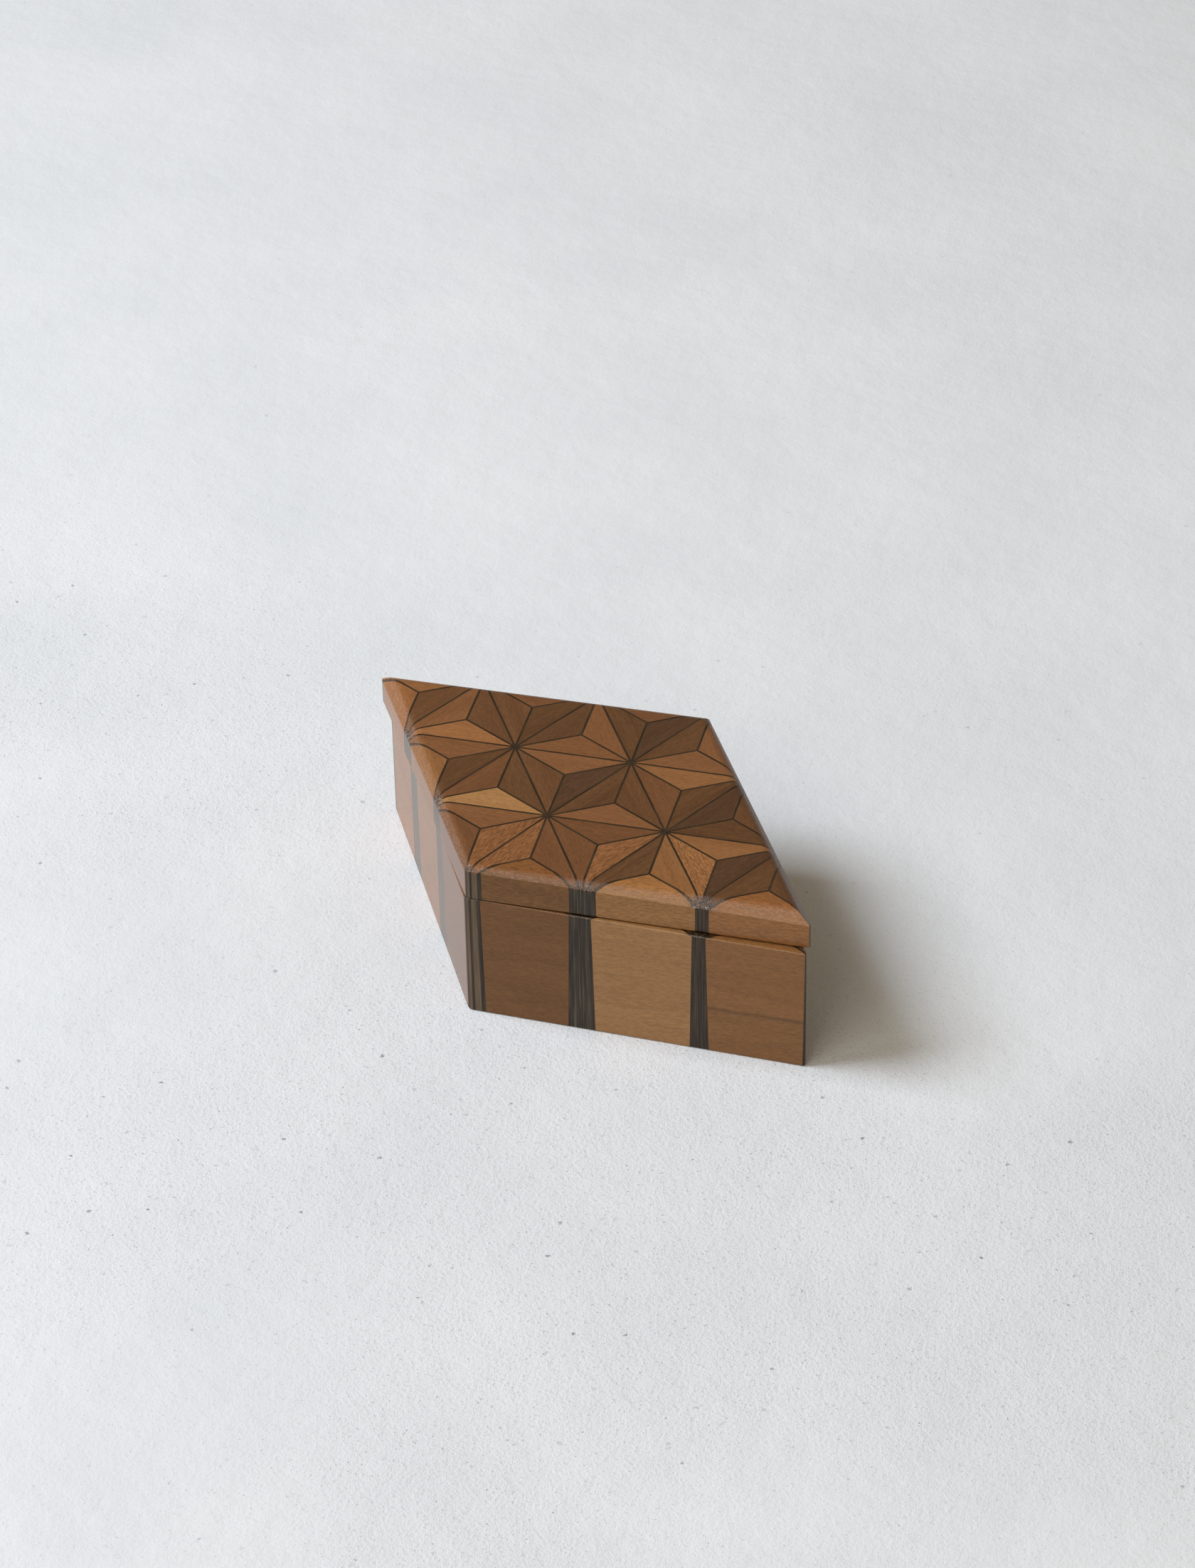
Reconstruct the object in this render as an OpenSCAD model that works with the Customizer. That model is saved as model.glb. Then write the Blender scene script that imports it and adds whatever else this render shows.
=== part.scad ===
// A small rhombic puzzle box of hemp-leaf parquetry. The lid turns on a dowel hidden in one
// corner, and a loose steel pin in the lid drops into a slot in the body and holds the lid shut.

/* [Box] */
// Length of each side of the rhombus, outside
side = 64; // [56:1:96]
// Height of the body, without the lid
body_h = 26; // [20:0.5:60]
// Thickness of the body's walls
wall = 7.5; // [5:0.5:9]
// Thickness of the bottom board
bottom_t = 3; // [2:0.5:6]
// How far along each side the upright corners are eased flat
corner_ease = 0.5; // [0.3:0.1:1]

/* [Pattern] */
// Thickness of the dark veneers between the wedges
veneer = 0.5; // [0.3:0.1:1]
// How far the outer faces are cut inside the outermost row of stars
trim = 1; // [0.9:0.1:2.5]
// Angle by which the pattern is turned against the faces
pattern_turn = 0.5; // [-0.5:0.1:0.5]
// How far the body's pattern drifts towards the front face from top to foot
pattern_drift = 0.3; // [0:0.05:0.3]

/* [Lid] */
// Thickness of the lid
lid_t = 7.3; // [6.5:0.1:12]
// Radius of the rounding along the lid's top edges
round_r = 4; // [3:0.5:6]
// Height that the rounding falls before it meets the upright side
round_drop = 1.6; // [0.5:0.1:2.5]
// Thickness of the plain board let into the lid's underside
core_t = 4; // [3.5:0.1:5]
// Width of the patterned rim left round that board
lid_rim = 4; // [3:0.5:7]
// Gap between the lid and the body's top edge
seam = 0.15; // [0.1:0.05:0.4]
// Angle at which the lid stands ajar at rest
ajar = 1.6; // [1:0.1:3]

/* [Pivot] */
// Diameter of the dowel that the lid turns on
pivot_d = 5; // [4:0.5:6]
// Width across the flats of the block that the dowel turns in
pivot_block_w = 12; // [11.5:0.5:14]
// Diameter of the collar that keeps the dowel in its block
collar_d = 8; // [7.5:0.5:9]
// Height of that collar
collar_h = 2.4; // [1.5:0.1:4]

/* [Lock] */
// Length of each side of the three-cornered lock block
lock_block_l = 20; // [17:0.5:22]
// Diameter of the lock pin's shank
pin_d = 3; // [2:0.5:3.5]
// Diameter of the lock pin's head
pin_head_d = 4.6; // [4.5:0.1:5.5]
// Thickness of the lock pin's head
pin_head_t = 1; // [0.8:0.1:1.2]
// Diameter of the disc that keeps the pin in the lid
keeper_d = 8; // [7:0.5:9]
// Thickness of that disc
keeper_t = 0.6; // [0.4:0.1:0.8]

/* [Clearances] */
// Gap all round a glued joint
glue_gap = 0.05; // [0.02:0.01:0.1]
// Gap all round a shaft or pin that moves in its hole
run_gap = 0.08; // [0.05:0.01:0.1]
// Gap at each end of a piece's travel
end_gap = 0.1; // [0.05:0.05:0.3]
// Gap all round the collar, in the wood that it turns in
collar_gap = 0.4; // [0.3:0.1:0.8]
// Side play of the pin in its slot
slot_gap = 0.2; // [0.15:0.05:0.4]
// Depth left under the dropped pin
slot_floor_gap = 0.5; // [0.3:0.1:2]

/* [Hidden] */
acute = 60;
cells = 3;
rows = ["front", "middle", "back"];
columns = ["left", "centre", "right"];
halves = ["near", "far"];
pitch = (side + 2 * trim / sin(acute)) / cells;
lid_z = body_h + seam;
round_run = sqrt(pow(round_r, 2) - pow(round_r - round_drop, 2));
pivot_at = rhombus(wall + pivot_block_w / 2)[0];
lock_tip = rhombus(wall + glue_gap)[1];
lock_at = lock_tip + lock_block_l / sqrt(3) * [cos(150), sin(150)];
pin_drop = core_t - keeper_t - pin_head_t - 2 * end_gap;
pin_shank_l = core_t - pin_head_t - 2 * end_gap;
collar_z = bottom_t + end_gap;
past = 5;
$fn = 64;

LID_TILES = [for (r = [0 : 2], c = [0 : 2], h = [0 : 1]) [r, c, h]];
BODY_TILES = [for (t = LID_TILES) if (t[0] != 1 || t[1] != 1) t];

// ---- plan geometry ----

// Corners of the rhombus whose sides lie the given distance inside the outer faces, from the
// front left corner round to the back left one
function rhombus(in) = let (s = side - 2 * in / sin(acute))
    [for (c = [[-1, -1], [1, -1], [1, 1], [-1, 1]]) rhombus_point(s / 2 * c[0], s / 2 * c[1])];
function rhombus_point(along, back) = [along + back * cos(180 - acute), back * sin(acute)];

// Centre of a star of the pattern
function star(column, row) = rhombus_point(pitch * (column - cells / 2), pitch * (row - cells / 2));

// The three stars round a tile, given as [row, column, half]
function tile(t) = let (r = t[0], c = t[1]) t[2] == 0
    ? [star(c, r), star(c + 1, r), star(c + 1, r + 1)]
    : [star(c, r), star(c + 1, r + 1), star(c, r + 1)];

// One of the three wedges that make up a tile
function wedge(tri, k) = [(tri[0] + tri[1] + tri[2]) / 3, tri[k], tri[(k + 1) % 3]];

// A triangle with each side moved in by the same distance
function shrunk(tri, by) = let (
    sides = [for (k = [0 : 2]) norm(tri[(k + 1) % 3] - tri[(k + 2) % 3])],
    around = sides[0] + sides[1] + sides[2],
    middle = (sides[0] * tri[0] + sides[1] * tri[1] + sides[2] * tri[2]) / around,
    in_radius = abs(cross(tri[1] - tri[0], tri[2] - tri[0])) / around)
    [for (p = tri) middle + (p - middle) * (1 - by / in_radius)];

function tile_name(part, t) = str(part, "_tile_", rows[t[0]], "_", columns[t[1]], "_", halves[t[2]]);

module tile_outline(t) { polygon(shrunk(tile(t), veneer / 2)); }
module wedges_outline(t) { for (k = [0 : 2]) polygon(shrunk(wedge(tile(t), k), veneer / 2)); }

// The three arms of veneer that part a tile's wedges: the tile less a corner that opens from
// each wedge's blunt end and runs out past the tile
module arms_outline(t) {
    difference() {
        tile_outline(t);
        for (k = [0 : 2]) {
            full = wedge(tile(t), k);
            blunt_end = shrunk(full, veneer / 2)[0];
            polygon([blunt_end, blunt_end + 2 * (full[1] - full[0]), blunt_end + 2 * (full[2] - full[0])]);
        }
    }
}

// ---- shared forms ----

// The pattern of the body, leaning about the body's top edge
module through_body() {
    translate([0, 0, body_h]) rotate([-atan(pattern_drift / body_h), 0, 0])
        translate([0, 0, -body_h - past])
        linear_extrude(height = body_h + 2 * past) rotate(pattern_turn) children();
}

// The pattern of the lid, straight down
module through_lid() {
    translate([0, 0, lid_z - past])
        linear_extrude(height = lid_t + 2 * past) rotate(pattern_turn) children();
}

// What easing takes off the four upright corners: beyond each corner, a square set across it
module corners_off() {
    for (k = [0 : 3]) {
        tip = rhombus(0)[k];
        half_angle = k % 2 == 0 ? 90 - acute / 2 : acute / 2;
        translate(tip) rotate(bearing(tip)) translate([-corner_ease * cos(half_angle), -past])
            square(2 * past);
    }
}

module body_ring() {
    linear_extrude(height = body_h) difference() {
        polygon(rhombus(0));
        polygon(rhombus(wall));
        corners_off();
    }
}

module lid_section() {
    across = side * sin(acute);
    flat = across - 2 * round_run;
    intersection() {
        translate([-across / 2, 0]) square([across, lid_t]);
        union() {
            translate([-across / 2, 0]) square([across, lid_t - round_r]);
            translate([-flat / 2, 0]) square([flat, lid_t]);
            for (s = [-1, 1]) translate([s * flat / 2, lid_t - round_r]) circle(r = round_r);
        }
    }
}

// The lid's outer form: the same rounded section run along both pairs of sides
module lid_form() {
    difference() {
        intersection_for (turn = [0, 180 - acute])
            translate([0, 0, lid_z]) rotate([0, 0, turn]) rotate([90, 0, 90])
                linear_extrude(height = 2 * side, center = true) lid_section();
        translate([0, 0, lid_z - past]) linear_extrude(height = lid_t + 2 * past) corners_off();
    }
}

module lid_shell() {
    difference() {
        lid_form();
        translate([0, 0, lid_z - past])
            linear_extrude(height = core_t + past) polygon(rhombus(lid_rim));
    }
}

// Turns what belongs to the lid from its shut place by an angle about the dowel
module turned(angle) {
    translate(pivot_at) rotate([0, 0, angle]) translate(-pivot_at) children();
}

// ---- body ----

module body_tile(t) {
    color(t[2] == 0 ? "#8a5a36" : "#a9713f")
        intersection() { body_ring(); through_body() wedges_outline(t); }
}

module body_grid_veneers() {
    color("#2c1d15") difference() {
        body_ring();
        for (t = LID_TILES) through_body() tile_outline(t);
    }
}

module body_star_veneers() {
    color("#38261b") for (t = BODY_TILES) intersection() {
        body_ring();
        through_body() arms_outline(t);
    }
}

module bottom_board() {
    color("#b98d5c") linear_extrude(height = bottom_t) polygon(rhombus(wall + glue_gap));
}

module pivot_block() {
    width = pivot_block_w - 2 * glue_gap;
    counterbore_h = collar_z + collar_h + end_gap - bottom_t;
    color("#c9a06c") difference() {
        translate([0, 0, bottom_t]) linear_extrude(height = body_h - bottom_t)
            polygon([for (p = rhombus(0)) pivot_at + p * width / (side * sin(acute))]);
        translate([pivot_at[0], pivot_at[1], bottom_t - past])
            cylinder(d = pivot_d + 2 * run_gap, h = body_h + 2 * past);
        translate([pivot_at[0], pivot_at[1], bottom_t - past])
            cylinder(d = collar_d + 2 * collar_gap, h = counterbore_h + past);
    }
}

module lock_block() {
    along_front = lock_block_l * [-1, 0];
    along_right = lock_block_l * [cos(180 - acute), sin(180 - acute)];
    color("#c9a06c") difference() {
        translate([0, 0, bottom_t]) linear_extrude(height = body_h - bottom_t)
            polygon([lock_tip, lock_tip + along_right, lock_tip + along_front]);
        pin_slot();
    }
}

// The slot runs from where the pin stands with the lid shut to where it stands ajar
module pin_slot() {
    slot_r = pin_d / 2 + slot_gap;
    depth = pin_drop + end_gap - seam + slot_floor_gap;
    shut = lock_at - pivot_at;
    ends = [for (a = [0, ajar]) pivot_at + norm(shut) * [cos(a + bearing(shut)), sin(a + bearing(shut))]];
    run = ends[1] - ends[0];
    translate([0, 0, body_h - depth]) {
        for (p = ends) translate(p) cylinder(r = slot_r, h = depth + past);
        translate(ends[0]) rotate([0, 0, bearing(run)]) translate([0, -slot_r, 0])
            cube([norm(run), 2 * slot_r, depth + past]);
    }
}
function bearing(v) = atan2(v[1], v[0]);

// ---- lid ----

module lid_tile(t) {
    color(t[2] == 0 ? "#a8703f" : "#c28a50")
        turned(ajar) intersection() { lid_shell(); through_lid() wedges_outline(t); }
}

module lid_grid_veneers() {
    color("#2c1d15") turned(ajar) difference() {
        lid_shell();
        for (t = LID_TILES) through_lid() tile_outline(t);
    }
}

module lid_star_veneers() {
    color("#38261b") turned(ajar) for (t = LID_TILES) intersection() {
        lid_shell();
        through_lid() arms_outline(t);
    }
}

module lid_core() {
    color("#b98d5c") turned(ajar) difference() {
        translate([0, 0, lid_z]) linear_extrude(height = core_t) polygon(rhombus(lid_rim + glue_gap));
        translate([pivot_at[0], pivot_at[1], lid_z - past])
            cylinder(d = pivot_d + 2 * glue_gap, h = core_t + 2 * past);
        translate([lock_at[0], lock_at[1], lid_z - past])
            cylinder(d = pin_head_d + 2 * run_gap, h = core_t + 2 * past);
        translate([lock_at[0], lock_at[1], lid_z - past])
            cylinder(d = keeper_d + 2 * glue_gap, h = keeper_t + past);
    }
}

module pivot_dowel() {
    color("#d8b483") turned(ajar) translate([pivot_at[0], pivot_at[1], collar_z])
        cylinder(d = pivot_d, h = lid_z + core_t - collar_z);
}

module dowel_collar() {
    color("#9c6b3f") turned(ajar) translate([pivot_at[0], pivot_at[1], collar_z]) difference() {
        cylinder(d = collar_d, h = collar_h);
        translate([0, 0, -past]) cylinder(d = pivot_d + 2 * glue_gap, h = collar_h + 2 * past);
    }
}

// The pin stands raised, its head just under the lid's pattern
module lock_pin() {
    color("#b7bbc0") turned(ajar) translate([lock_at[0], lock_at[1], lid_z + end_gap]) {
        cylinder(d = pin_d, h = pin_shank_l);
        translate([0, 0, pin_shank_l]) cylinder(d = pin_head_d, h = pin_head_t);
    }
}

module pin_keeper() {
    color("#c8a64e") turned(ajar) translate([lock_at[0], lock_at[1], lid_z]) difference() {
        cylinder(d = keeper_d, h = keeper_t);
        translate([0, 0, -past]) cylinder(d = pin_d + 2 * run_gap, h = keeper_t + 2 * past);
    }
}

for (t = BODY_TILES) body_tile(t);
body_grid_veneers();
body_star_veneers();
bottom_board();
pivot_block();
lock_block();
for (t = LID_TILES) lid_tile(t);
lid_grid_veneers();
lid_star_veneers();
lid_core();
pivot_dowel();
dowel_collar();
lock_pin();
pin_keeper();
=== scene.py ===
import math
import random
import bpy
from mathutils import Matrix, Vector


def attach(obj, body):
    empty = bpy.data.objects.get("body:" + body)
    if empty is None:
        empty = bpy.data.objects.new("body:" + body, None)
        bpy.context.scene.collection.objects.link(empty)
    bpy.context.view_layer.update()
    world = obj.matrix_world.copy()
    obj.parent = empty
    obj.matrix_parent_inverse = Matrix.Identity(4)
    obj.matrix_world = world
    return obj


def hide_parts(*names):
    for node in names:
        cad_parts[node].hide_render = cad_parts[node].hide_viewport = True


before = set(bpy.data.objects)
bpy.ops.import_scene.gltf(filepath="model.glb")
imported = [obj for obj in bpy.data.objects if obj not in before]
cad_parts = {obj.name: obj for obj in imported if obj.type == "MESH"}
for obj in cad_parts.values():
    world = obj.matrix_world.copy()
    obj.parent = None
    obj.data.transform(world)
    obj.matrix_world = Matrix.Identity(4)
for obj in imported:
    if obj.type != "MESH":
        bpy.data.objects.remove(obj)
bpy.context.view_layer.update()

# ---------------------------------------------------------------- sizes, in metres

MM = 0.001

# The body: the length of each side, its height, and the wall round its hollow
SIDE = 64 * MM
BODY_H = 26 * MM
WALL = 7.5 * MM

# The pattern: the veneers between its sticks, how much was trimmed off each side of the glued
# block, how far it is turned, and how far it leans to the front over the body's height
VENEER = 0.42 * MM
TRIM = 1 * MM
PATTERN_TURN = math.radians(0.5)
PATTERN_DRIFT = 0.3 * MM

# The lid: its thickness, the slope of its planed brow and the round into the top, the core let into
# its underside and the rim round that, the gap under it, how far it stands open, and about where
LID_T = 7.3 * MM
BROW_SLOPE = math.radians(48)
BROW_BLEND = 2.5 * MM
CORE_T = 4 * MM
LID_RIM = 4 * MM
SEAM = 0.15 * MM
AJAR = math.radians(1.6)
PIVOT_AT = Vector((-8.206, -14.213, 0)) * MM

# How far sanding has rounded each edge
SHARP_CORNER_ROUND = 0.85 * MM
BLUNT_CORNER_ROUND = 0.7 * MM
BODY_FOOT_ROUND = 0.6 * MM
BODY_RIM_ROUND = 0.36 * MM
LID_FOOT_ROUND = 0.38 * MM

# Planing passes that round the brow into the top, and those that break the crease under it, each
# with its slope in degrees and its depth in millimetres
BLEND_PASSES = 6
CREASE_PASSES = ((58, 0.02), (69, 0.045), (80, 0.02))

# How much the grain of the sticks strays, in degrees, and the length and width of the plank that
# each was sawn out of, in millimetres
GRAIN_TILT = 3
GRAIN_RISE = 1.2
PLANK = (300, 90)

# How far a cutter reaches past what it cuts, and how near counts as the same place
PAST = 5 * MM
SAME_PLACE = 0.01 * MM

UP = Vector((0, 0, 1))
SIN60 = COS30 = math.sin(math.radians(60))
# From one star to the next
PITCH = (SIDE + 2 * TRIM / SIN60) / 3
LID_Z = BODY_H + SEAM
LID_TOP = LID_Z + LID_T
# How far each face stands from the box's middle
FACE_AT = SIDE * SIN60 / 2

ROWS = ("front", "middle", "back")
COLUMNS = ("left", "centre", "right")
HALVES = ("near", "far")

# Each face's outward direction, anticlockwise
FACES = {
    "front": Vector((0, -1, 0)),
    "right": Vector((SIN60, 0.5, 0)),
    "back": Vector((0, 1, 0)),
    "left": Vector((-SIN60, -0.5, 0)),
}

# The corner where each face starts, and how far below the top of the lid its planed brow stops
# there. Hand planing has taken more off the two sharp corners.
CORNERS = {
    "front": (Vector((-SIDE / 4, -FACE_AT, 0)), 1.15 * MM),
    "right": (Vector((SIDE * 3 / 4, -FACE_AT, 0)), 2.25 * MM),
    "back": (Vector((SIDE / 4, FACE_AT, 0)), 1.3 * MM),
    "left": (Vector((-SIDE * 3 / 4, FACE_AT, 0)), 2.2 * MM),
}

# Where a star sits off its place in the lattice, in millimetres, as in a hand-laid block
STAR_SLIPS = {
    "body": {(0, 0): (0.5, -0.35), (2, 0): (0, 0.3), (3, 0): (-0.25, -0.43)},
    "lid": {(0, 0): (0.5, -0.35), (1, 0): (0.1, -0.3), (2, 0): (0, 0.3), (3, 0): (-0.25, -0.43)},
}

# The way from a star to its six neighbours, anticlockwise from the right
AROUND = ((1, 0), (1, 1), (0, 1), (-1, 0), (-1, -1), (0, -1))


def star(part, column, row):
    """The middle of one star of the pattern."""
    slip = Vector((*STAR_SLIPS[part].get((column, row), (0, 0)), 0)) * MM
    along, back = PITCH * (column - 1.5), PITCH * (row - 1.5)
    return Vector((along - back / 2, back * SIN60, 0)) + slip


def tile_stars(part, row, column, half):
    """The three stars round a tile, anticlockwise."""
    own, ahead = star(part, column, row), star(part, column + 1, row + 1)
    if half == "near":
        return [own, star(part, column + 1, row), ahead]
    return [own, ahead, star(part, column, row + 1)]


def middle_of(stars):
    return (stars[0] + stars[1] + stars[2]) / 3


# The pattern's place in the lid, and in the body, where it leans a little to the front
LID_PATTERN = Matrix.Rotation(PATTERN_TURN, 4, "Z")
BODY_PATTERN = (Matrix.Translation((0, 0, BODY_H))
                @ Matrix.Rotation(-math.atan(PATTERN_DRIFT / BODY_H), 4, "X")
                @ Matrix.Rotation(PATTERN_TURN, 4, "Z"))

# ---------------------------------------------------------------- the bench: picking, sawing, joining


def pick(*pieces):
    """Leaves only these pieces selected, the last of them active."""
    bpy.ops.object.select_all(action="DESELECT")
    for piece in pieces:
        piece.select_set(True)
    bpy.context.view_layer.objects.active = pieces[-1]


def copy_of(piece, name):
    """A copy with a mesh of its own."""
    made = piece.copy()
    made.data = piece.data.copy()
    made.name = made.data.name = name
    bpy.context.collection.objects.link(made)
    return made


def saw(piece, cuts):
    """Takes off what lies beyond each cut, a point and an outward direction, and closes the piece."""
    pick(piece)
    bpy.ops.object.mode_set(mode="EDIT")
    for point, outward in cuts:
        bpy.ops.mesh.select_all(action="SELECT")
        bpy.ops.mesh.bisect(plane_co=point, plane_no=outward, use_fill=True, clear_outer=True,
                            threshold=1e-8)
    bpy.ops.object.mode_set(mode="OBJECT")
    return piece


def hollow(piece, cutter):
    """Takes the cutter's form out of the piece."""
    pick(piece)
    cut = piece.modifiers.new("hollow", "BOOLEAN")
    cut.operation, cut.solver, cut.object = "DIFFERENCE", "EXACT", cutter
    bpy.ops.object.modifier_apply(modifier=cut.name)
    return piece


def join(name, pieces):
    """Makes one piece of several."""
    pick(*pieces)
    bpy.ops.object.join()
    made = bpy.context.object
    made.name = made.data.name = name
    return made


def soften(piece):
    """Smooths what bends by less than 28 degrees and keeps flat faces flat."""
    pick(piece)
    bpy.ops.object.shade_smooth_by_angle(angle=math.radians(28))
    even = piece.modifiers.new("even", "WEIGHTED_NORMAL")
    even.keep_sharp = True
    bpy.ops.object.modifier_apply(modifier=even.name)


def ease(piece, size, facets, edge_test):
    """Rounds the edges whose two end points pass the test."""
    pick(piece)
    bpy.ops.object.mode_set(mode="EDIT")
    bpy.ops.mesh.select_mode(type="EDGE")
    bpy.ops.mesh.select_all(action="DESELECT")
    bpy.ops.object.mode_set(mode="OBJECT")
    points = piece.data.vertices
    for edge in piece.data.edges:
        a, b = (points[i].co for i in edge.vertices)
        edge.select = edge_test(a, b)
    bpy.ops.object.mode_set(mode="EDIT")
    bpy.ops.mesh.bevel(offset=size, offset_type="OFFSET", segments=facets, profile=0.5,
                       affect="EDGES", clamp_overlap=True)
    bpy.ops.object.mode_set(mode="OBJECT")


def scrap(*pieces):
    for piece in pieces:
        mesh = piece.data
        bpy.data.objects.remove(piece)
        bpy.data.meshes.remove(mesh)


# ---------------------------------------------------------------- blanks


def rhombic_block(name, inset, foot, top):
    """An upright block on the box's plan, its sides inset inside the outer faces."""
    bpy.ops.object.select_all(action="DESELECT")
    edge = SIDE - 2 * inset / SIN60
    bpy.ops.mesh.primitive_cylinder_add(
        vertices=4, radius=1, depth=1, location=(0, 0, (foot + top) / 2),
        rotation=(0, 0, math.radians(-30)), scale=(edge * COS30, edge / 2, top - foot))
    block = bpy.context.object
    block.name = block.data.name = name
    bpy.ops.object.transform_apply(location=True, rotation=True, scale=True)
    return block


def is_upright(a, b):
    return (a - b).xy.length < SAME_PLACE


def is_at(height):
    return lambda a, b: abs(a.z - height) < SAME_PLACE and abs(b.z - height) < SAME_PLACE


def is_sharp_upright(a, b):
    """An upright edge at one of the two sharp corners, which lie further out than the blunt ones."""
    return is_upright(a, b) and a.xy.length > SIDE / 2 + MM


def is_blunt_upright(a, b):
    return is_upright(a, b) and a.xy.length < SIDE / 2 + MM


def ease_corners(block):
    """Rounds the four upright edges."""
    ease(block, SHARP_CORNER_ROUND, 4, is_sharp_upright)
    ease(block, BLUNT_CORNER_ROUND, 3, is_blunt_upright)


def body_blank():
    block = rhombic_block("body_blank", 0, 0, BODY_H)
    ease_corners(block)
    ease(block, BODY_FOOT_ROUND, 3, is_at(0))
    ease(block, BODY_RIM_ROUND, 3, is_at(BODY_H))
    return block


def brow_cuts(face, next_face):
    """The planing passes along one top edge: a steep flat down to the crease, passes that round it
    into the top, and three that break the crease."""
    outward = FACES[face]
    (corner, drop), (next_corner, next_drop) = CORNERS[face], CORNERS[next_face]
    start = corner + UP * (LID_TOP - drop)
    crease = (next_corner + UP * (LID_TOP - next_drop) - start).normalized()
    level = (UP - crease * crease.z).normalized()

    def facing(slope):
        return outward * math.sin(slope) + level * math.cos(slope)

    flat = facing(BROW_SLOPE)
    cuts = [(start, flat)]
    # where the steep flat would meet the top, and the round that blends them
    turn = flat.angle(UP)
    aside = (flat - UP * flat.z).normalized()
    rise = LID_TOP - start.z
    meeting = start + UP * rise - aside * rise * flat.z / (flat - UP * flat.z).length
    centre = meeting - aside * BROW_BLEND * math.tan(turn / 2) - UP * BROW_BLEND
    for n in range(BLEND_PASSES):
        angle = turn * (n + 0.5) / BLEND_PASSES
        across = UP * math.cos(angle) + aside * math.sin(angle)
        cuts.append((centre + across * BROW_BLEND, across))
    for slope, depth in CREASE_PASSES:
        across = facing(math.radians(slope))
        cuts.append((start - across * depth * MM, across))
    return cuts


def lid_blank():
    """The lid, planed down to a brow along its four top edges."""
    block = rhombic_block("lid_blank", 0, LID_Z, LID_TOP)
    ease_corners(block)
    ease(block, LID_FOOT_ROUND, 3, is_at(LID_Z))
    faces = list(FACES)
    cuts = []
    for face, next_face in zip(faces, faces[1:] + faces[:1]):
        cuts += brow_cuts(face, next_face)
    return saw(block, cuts)


# ---------------------------------------------------------------- the pattern


def placed(place, cuts):
    return [(place @ point, place.to_3x3() @ outward) for point, outward in cuts]


def inside_line(a, b):
    """A cut along the line from a to b, half a veneer inside it. The inside is on the left."""
    outward = Vector((b.y - a.y, a.x - b.x, 0)).normalized()
    return a - outward * VENEER / 2, outward


def wedge_cuts(corners):
    """The three sides of a wedge, each half a veneer inside its line."""
    return [inside_line(a, b) for a, b in zip(corners, corners[1:] + corners[:1])]


def veneer_sides(start, end):
    """The two long sides of a veneer between two points."""
    along = (end - start).normalized()
    aside = Vector((-along.y, along.x, 0))
    return [(start + aside * (VENEER / 2), aside), (start - aside * (VENEER / 2), -aside)]


def arm_cuts(stars, k):
    """One of the three veneers that run from a tile's middle out to its stars."""
    middle = middle_of(stars)
    tip, before, after = stars[k], stars[k - 1], stars[k - 2]
    ahead = (tip - middle).normalized()
    cuts = veneer_sides(middle, tip)
    for other in (before, after):
        cuts.append((middle, ((other - middle).normalized() - ahead).normalized()))
    return cuts + [inside_line(before, tip), inside_line(tip, after)]


def lattice_cuts(part, column, row, way):
    """One veneer of the lattice, mitred into its neighbours at both stars."""
    ends = [(column, row), (column + AROUND[way][0], row + AROUND[way][1])]
    start, end = star(part, *ends[0]), star(part, *ends[1])
    cuts = veneer_sides(start, end)
    for (c, r), here, facing in ((ends[0], start, way), (ends[1], end, way + 3)):
        spokes = [(star(part, c + dc, r + dr) - here).normalized() for dc, dr in AROUND]
        own = spokes[facing % 6]
        for beside in (spokes[(facing + 1) % 6], spokes[(facing - 1) % 6]):
            cuts.append((here, (beside - own).normalized()))
    return cuts


# Each lattice veneer's column and row, and which way it runs from there
LATTICE = ([(c, r, 0) for c in range(3) for r in range(4)]
           + [(c, r, 2) for c in range(4) for r in range(3)]
           + [(c, r, 1) for c in range(3) for r in range(3)])


def lay_grain(piece, pattern, start, end, seed):
    """Gives each point two places, in millimetres: "grain", along the grain, across it and up, and
    "tip", along and across from the star at the start, with the star at the end this far on."""
    chance = random.Random(seed)
    base = (end - start).normalized()
    along = Matrix.Rotation(math.radians(chance.gauss(0, GRAIN_TILT)), 3, "Z") @ base
    across, beside = UP.cross(along), UP.cross(base)
    rise = math.tan(math.radians(chance.gauss(0, GRAIN_RISE)))
    length, width = PLANK
    shift = Vector((chance.uniform(0, length), chance.uniform(0, width), chance.uniform(0, width)))
    level = pattern.inverted()
    grain = piece.data.attributes.new("grain", "FLOAT_VECTOR", "POINT")
    tip = piece.data.attributes.new("tip", "FLOAT_VECTOR", "POINT")
    for point, in_wood, from_star in zip(piece.data.vertices, grain.data, tip.data):
        co = level @ point.co
        off = co - start
        run = co.dot(along)
        in_wood.vector = Vector((run, co.dot(across), co.z + rise * run)) / MM + shift
        from_star.vector = (off.dot(base) / MM, off.dot(beside) / MM, (end - start).length / MM)
    return piece


def stick(blank, pattern, cutter, cuts, wood, start, end, seed):
    """One stick of the pattern: sawn from the blank, hollowed, given its wood and its grain.
    Nothing is left of it where the hollow takes it all."""
    piece = saw(copy_of(blank, "stick"), placed(pattern, cuts))
    if piece.data.polygons:
        hollow(piece, cutter)
    if not piece.data.polygons:
        scrap(piece)
        return None
    piece.data.materials.clear()
    piece.data.materials.append(wood)
    return lay_grain(piece, pattern, start, end, seed)


def is_panel(row, column, half, k):
    """True for a wedge that shows as a broad panel on a face, not as a slip beside a star."""
    if half == "near":
        return (k == 0 and row == 0) or (k == 1 and column == 2)
    return (k == 1 and row == 2) or (k == 2 and column == 0)


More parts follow.
